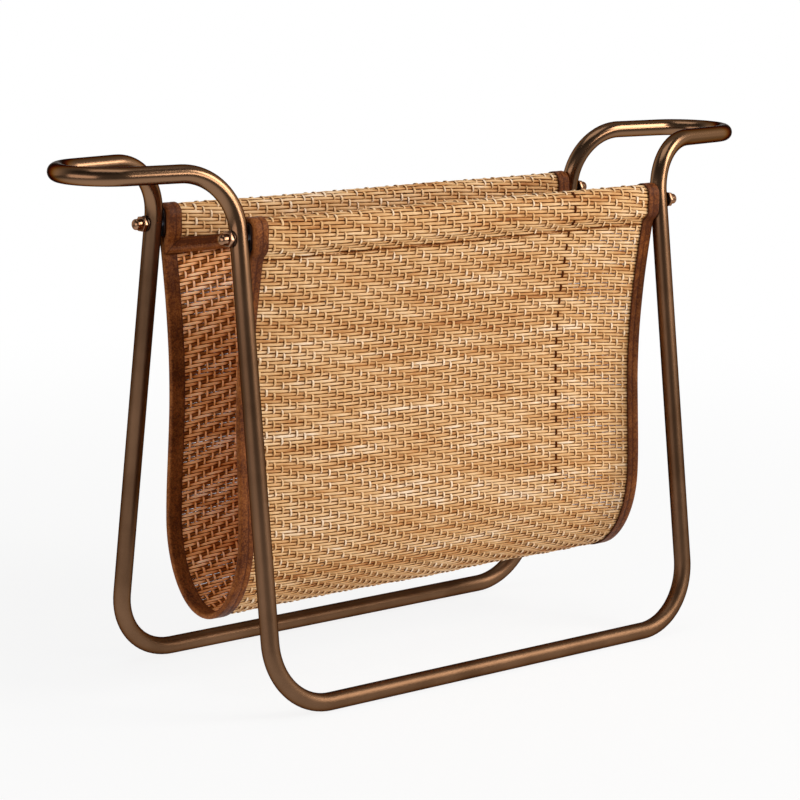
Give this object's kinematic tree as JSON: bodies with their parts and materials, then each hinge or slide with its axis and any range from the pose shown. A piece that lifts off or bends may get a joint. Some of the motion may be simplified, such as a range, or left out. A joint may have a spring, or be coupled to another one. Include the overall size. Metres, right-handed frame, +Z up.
{
  "type": "magazine basket",
  "caption": "Free-standing magazine basket: a bent round-tube stand with a handle loop at each end holds a woven cane sling with stitched leather edges.",
  "frame": {"origin": "on the floor under the middle of the basket", "axes": "+Z up, +X along the basket through both handle loops, +Y from the front rail to the rear rail"},
  "size_m": [0.6266, 0.1968, 0.3763],
  "materials": {
    "bronze_tube": "semi-gloss antique bronze",
    "zinc_steel": "satin zinc plated",
    "dark_washer": "satin dark bronze",
    "polished_nut": "polished copper bronze",
    "woven_cane": "natural satin",
    "leather": "saddle brown, low sheen"
  },
  "bodies": {
    "root": {"stand_tube_left": "bronze_tube", "stand_tube_right": "bronze_tube", "rail_sleeve_front": "zinc_steel", "rail_sleeve_rear": "zinc_steel", "hanger_bar_front": "zinc_steel", "hanger_bar_rear": "zinc_steel", "hanger_stud_front_left": "zinc_steel", "washer_front_left": "dark_washer", "cap_nut_front_left": "polished_nut", "hanger_stud_front_right": "zinc_steel", "washer_front_right": "dark_washer", "cap_nut_front_right": "polished_nut", "hanger_stud_rear_left": "zinc_steel", "washer_rear_left": "dark_washer", "cap_nut_rear_left": "polished_nut", "hanger_stud_rear_right": "zinc_steel", "washer_rear_right": "dark_washer", "cap_nut_rear_right": "polished_nut", "sling_panel": "woven_cane", "side_edging_left": "leather", "side_edging_right": "leather", "hem_edging_front": "leather", "hem_edging_rear": "leather"}
  },
  "joints": []
}
